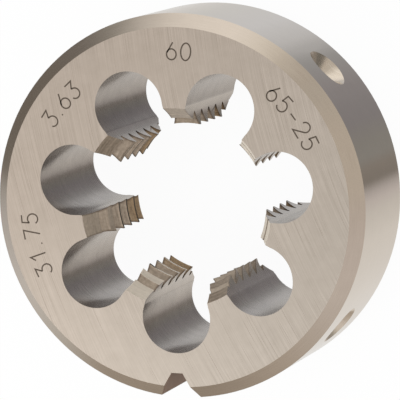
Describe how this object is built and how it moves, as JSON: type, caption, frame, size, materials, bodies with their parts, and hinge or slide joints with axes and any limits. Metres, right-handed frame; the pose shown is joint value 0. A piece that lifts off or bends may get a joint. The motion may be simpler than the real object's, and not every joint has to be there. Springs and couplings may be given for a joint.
{
  "type": "threading die",
  "caption": "Round threading die with toothed lands between round chip holes, lead cones, chamfered rims, an adjusting groove and conical locating dimples.",
  "frame": {"origin": "centre of the back face, on the thread's axis", "axes": "+Z along the thread's axis, out of the marked face; the adjusting groove is at -Y"},
  "size_m": [0.065, 0.0648, 0.025],
  "materials": {
    "die_steel": "ground"
  },
  "bodies": {
    "root": {"threading_die": "die_steel"}
  },
  "joints": []
}
